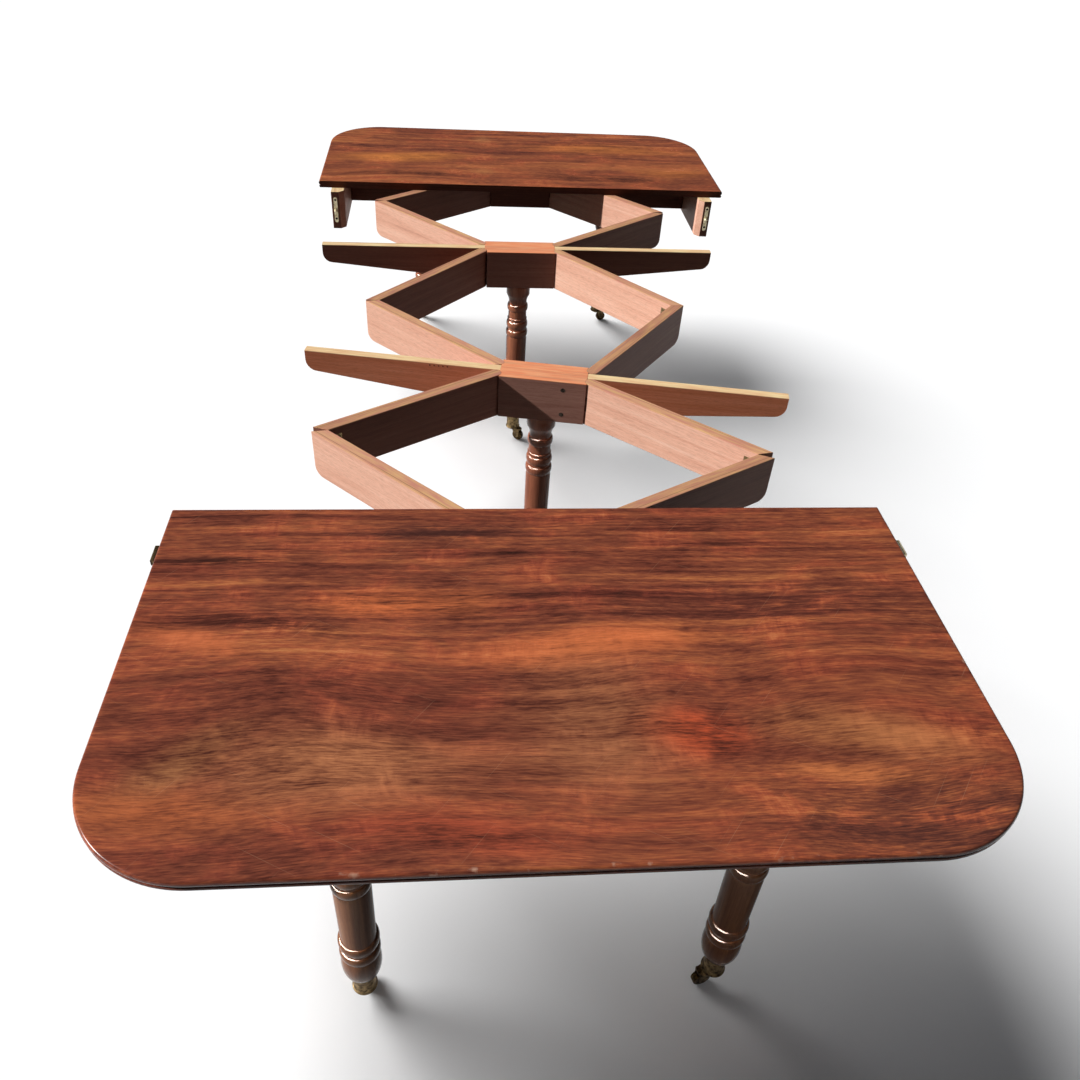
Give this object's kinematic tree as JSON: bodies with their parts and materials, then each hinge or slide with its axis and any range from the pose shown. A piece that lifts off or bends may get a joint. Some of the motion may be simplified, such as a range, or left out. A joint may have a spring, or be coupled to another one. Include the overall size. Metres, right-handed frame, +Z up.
{
  "type": "concertina extending dining table",
  "caption": "Extending dining table drawn open without leaves: two rounded end tops joined by a hinged concertina of rails, centre blocks on turned legs with brass castors.",
  "frame": {"origin": "on the floor below the middle of the object's box in the open resting pose", "axes": "+Y along the draw of the table, from the near (two-piece) top to the far top; +X to the right seen from the near end; +Z up"},
  "size_m": [1.4956, 3.2266, 0.72],
  "materials": {
    "polished_top": "French-polished figured mahogany, high gloss, fine scratches",
    "waxed_rail": "waxed plain mahogany, satin, worn along the arrises",
    "waxed_block": "waxed mahogany, redder, satin",
    "dark_frame": "unpolished mahogany underframe, dark with age",
    "polished_leg": "turned polished mahogany, glossy",
    "brass": "aged brass, dull gloss",
    "dark_brass": "tarnished brass, nearly black"
  },
  "bodies": {
    "near_block": {"near_block": "waxed_block", "near_arm_left": "waxed_block", "near_arm_right": "waxed_block", "near_block_leg": "polished_leg", "near_block_castor_cup": "brass"},
    "far_block": {"far_block": "waxed_block", "far_arm_left": "waxed_block", "far_arm_right": "waxed_block", "far_block_leg": "polished_leg", "far_block_castor_cup": "brass"},
    "near_end": {"near_top": "polished_top", "near_top_strip": "polished_top", "strip_clip_left": "brass", "strip_clip_right": "brass", "near_side_apron_left": "dark_frame", "near_side_apron_right": "dark_frame", "near_leg_rail": "dark_frame", "near_hinge_rail": "dark_frame", "near_left_leg": "polished_leg", "near_left_castor_cup": "brass", "near_right_leg": "polished_leg", "near_right_castor_cup": "brass"},
    "far_end": {"far_top": "polished_top", "far_peg_left": "brass", "far_peg_right": "brass", "far_side_apron_left": "dark_frame", "far_side_apron_right": "dark_frame", "far_leg_rail": "dark_frame", "far_hinge_rail": "dark_frame", "far_left_leg": "polished_leg", "far_left_castor_cup": "brass", "far_right_leg": "polished_leg", "far_right_castor_cup": "brass"},
    "near_left_rail_back": {"near_left_rail_back": "waxed_rail"},
    "near_left_rail_front": {"near_left_rail_front": "waxed_rail"},
    "near_right_rail_back": {"near_right_rail_back": "waxed_rail"},
    "near_right_rail_front": {"near_right_rail_front": "waxed_rail"},
    "middle_left_rail_front": {"middle_left_rail_front": "waxed_rail"},
    "middle_left_rail_back": {"middle_left_rail_back": "waxed_rail"},
    "middle_right_rail_front": {"middle_right_rail_front": "waxed_rail"},
    "middle_right_rail_back": {"middle_right_rail_back": "waxed_rail"},
    "far_left_rail_front": {"far_left_rail_front": "waxed_rail"},
    "far_left_rail_back": {"far_left_rail_back": "waxed_rail"},
    "far_right_rail_front": {"far_right_rail_front": "waxed_rail"},
    "far_right_rail_back": {"far_right_rail_back": "waxed_rail"},
    "near_left_castor_fork": {"near_left_castor_fork": "brass"},
    "near_left_castor_wheel": {"near_left_castor_wheel": "dark_brass"},
    "near_right_castor_fork": {"near_right_castor_fork": "brass"},
    "near_right_castor_wheel": {"near_right_castor_wheel": "dark_brass"},
    "near_block_castor_fork": {"near_block_castor_fork": "brass"},
    "near_block_castor_wheel": {"near_block_castor_wheel": "dark_brass"},
    "far_block_castor_fork": {"far_block_castor_fork": "brass"},
    "far_block_castor_wheel": {"far_block_castor_wheel": "dark_brass"},
    "far_left_castor_fork": {"far_left_castor_fork": "brass"},
    "far_left_castor_wheel": {"far_left_castor_wheel": "dark_brass"},
    "far_right_castor_fork": {"far_right_castor_fork": "brass"},
    "far_right_castor_wheel": {"far_right_castor_wheel": "dark_brass"}
  },
  "joints": [
    {"name": "near_fold", "type": "hinge", "parent": "near_block", "child": "near_right_rail_back", "pos_m": [0.13282, -0.29735, 0.6392], "axis": [0, 0, 1], "range_deg": [-6.04, 30.2]},
    {"name": "near_right_corner", "type": "hinge", "parent": "near_right_rail_back", "child": "near_right_rail_front", "pos_m": [0.47039, -0.60571, 0.6392], "axis": [0, 0, 1], "range_deg": [-70.1, 14.42]},
    {"name": "near_end_turn", "type": "hinge", "parent": "near_right_rail_front", "child": "near_end", "pos_m": [0.07853, -0.84127, 0.6392], "axis": [0, 0, 1], "range_deg": [-6.32, 29.6]},
    {"name": "near_left_fold", "type": "hinge", "parent": "near_block", "child": "near_left_rail_back", "pos_m": [-0.09938, -0.25515, 0.6392], "axis": [0, 0, 1], "range_deg": [-43.33, 9.07]},
    {"name": "near_left_corner", "type": "hinge", "parent": "near_left_rail_back", "child": "near_left_rail_front", "pos_m": [-0.47646, -0.51372, 0.6392], "axis": [0, 0, 1], "range_deg": [-15.78, 76.88]},
    {"name": "middle_fold", "type": "hinge", "parent": "near_block", "child": "middle_right_rail_front", "pos_m": [0.14265, -0.24323, 0.6392], "axis": [0, 0, 1], "range_deg": [-63, 0]},
    {"name": "middle_right_corner", "type": "hinge", "parent": "middle_right_rail_front", "child": "middle_right_rail_back", "pos_m": [0.40743, 0.1295, 0.6392], "axis": [0, 0, 1], "range_deg": [-0.5, 102.95]},
    {"name": "far_block_turn", "type": "hinge", "parent": "middle_right_rail_back", "child": "far_block", "pos_m": [0.12382, 0.48812, 0.6392], "axis": [0, 0, 1], "range_deg": [-50.25, 0.5]},
    {"name": "middle_left_fold", "type": "hinge", "parent": "near_block", "child": "middle_left_rail_front", "pos_m": [-0.08955, -0.20104, 0.6392], "axis": [0, 0, 1], "range_deg": [-0.5, 35.35]},
    {"name": "middle_left_corner", "type": "hinge", "parent": "middle_left_rail_front", "child": "middle_left_rail_back", "pos_m": [-0.401, 0.13368, 0.6392], "axis": [0, 0, 1], "range_deg": [-94.56, 0.5]},
    {"name": "far_fold", "type": "hinge", "parent": "far_block", "child": "far_right_rail_front", "pos_m": [0.12382, 0.54312, 0.6392], "axis": [0, 0, 1], "range_deg": [-38.1, 7.62]},
    {"name": "far_right_corner", "type": "hinge", "parent": "far_right_rail_front", "child": "far_right_rail_back", "pos_m": [0.47401, 0.83708, 0.6392], "axis": [0, 0, 1], "range_deg": [-17.26, 84.3]},
    {"name": "far_end_turn", "type": "hinge", "parent": "far_right_rail_back", "child": "far_end", "pos_m": [0.16577, 1.17477, 0.6392], "axis": [0, 0, 1], "range_deg": [-46.2, 9.64]},
    {"name": "far_left_fold", "type": "hinge", "parent": "far_block", "child": "far_left_rail_front", "pos_m": [-0.11218, 0.54312, 0.6392], "axis": [0, 0, 1], "range_deg": [-9.64, 46.2]},
    {"name": "far_left_corner", "type": "hinge", "parent": "far_left_rail_front", "child": "far_left_rail_back", "pos_m": [-0.42041, 0.88081, 0.6392], "axis": [0, 0, 1], "range_deg": [-84.3, 17.26]},
    {"name": "near_left_castor_swivel", "type": "hinge", "parent": "near_end", "child": "near_left_castor_fork", "pos_m": [-0.37747, -1.43327, 0.046], "axis": [0, 0, 1], "continuous": true},
    {"name": "near_left_castor_roll", "type": "hinge", "parent": "near_left_castor_fork", "child": "near_left_castor_wheel", "pos_m": [-0.37178, -1.41202, 0.01863], "axis": [-0.9659, 0.2588, 0], "continuous": true},
    {"name": "near_right_castor_swivel", "type": "hinge", "parent": "near_end", "child": "near_right_castor_fork", "pos_m": [0.29853, -1.43327, 0.046], "axis": [0, 0, 1], "continuous": true},
    {"name": "near_right_castor_roll", "type": "hinge", "parent": "near_right_castor_fork", "child": "near_right_castor_wheel", "pos_m": [0.27728, -1.43897, 0.01863], "axis": [0.2588, -0.9659, 0], "continuous": true},
    {"name": "near_block_castor_swivel", "type": "hinge", "parent": "near_block", "child": "near_block_castor_fork", "pos_m": [0.02164, -0.24919, 0.046], "axis": [0, 0, 1], "continuous": true},
    {"name": "near_block_castor_roll", "type": "hinge", "parent": "near_block_castor_fork", "child": "near_block_castor_wheel", "pos_m": [0.01064, -0.23014, 0.01863], "axis": [-0.866, -0.5, 0], "continuous": true},
    {"name": "far_block_castor_swivel", "type": "hinge", "parent": "far_block", "child": "far_block_castor_fork", "pos_m": [0.00582, 0.51562, 0.046], "axis": [0, 0, 1], "continuous": true},
    {"name": "far_block_castor_roll", "type": "hinge", "parent": "far_block_castor_fork", "child": "far_block_castor_wheel", "pos_m": [0.02384, 0.503, 0.01863], "axis": [0.5736, 0.8192, 0], "continuous": true},
    {"name": "far_left_castor_swivel", "type": "hinge", "parent": "far_end", "child": "far_left_castor_fork", "pos_m": [-0.31723, 1.43327, 0.046], "axis": [0, 0, 1], "continuous": true},
    {"name": "far_left_castor_roll", "type": "hinge", "parent": "far_left_castor_fork", "child": "far_left_castor_wheel", "pos_m": [-0.33628, 1.44427, 0.01863], "axis": [-0.5, -0.866, 0], "continuous": true},
    {"name": "far_right_castor_swivel", "type": "hinge", "parent": "far_end", "child": "far_right_castor_fork", "pos_m": [0.41277, 1.43327, 0.046], "axis": [0, 0, 1], "continuous": true},
    {"name": "far_right_castor_roll", "type": "hinge", "parent": "far_right_castor_fork", "child": "far_right_castor_wheel", "pos_m": [0.43444, 1.43709, 0.01863], "axis": [-0.1736, 0.9848, 0], "continuous": true}
  ],
  "couplings": [
    {"joint": "near_right_corner", "follows": "near_fold", "ratio": -2.3046},
    {"joint": "near_end_turn", "follows": "near_fold", "ratio": 0.96358},
    {"joint": "near_left_fold", "follows": "near_fold", "ratio": -1.4181},
    {"joint": "near_left_corner", "follows": "near_fold", "ratio": 2.529},
    {"joint": "middle_right_corner", "follows": "middle_fold", "ratio": -1.6262},
    {"joint": "far_block_turn", "follows": "middle_fold", "ratio": 0.78968},
    {"joint": "middle_left_fold", "follows": "middle_fold", "ratio": -0.55319},
    {"joint": "middle_left_corner", "follows": "middle_fold", "ratio": 1.4931},
    {"joint": "far_right_corner", "follows": "far_fold", "ratio": -2.1995},
    {"joint": "far_end_turn", "follows": "far_fold", "ratio": 1.1995},
    {"joint": "far_left_fold", "follows": "far_fold", "ratio": -1.1995},
    {"joint": "far_left_corner", "follows": "far_fold", "ratio": 2.1995}
  ]
}
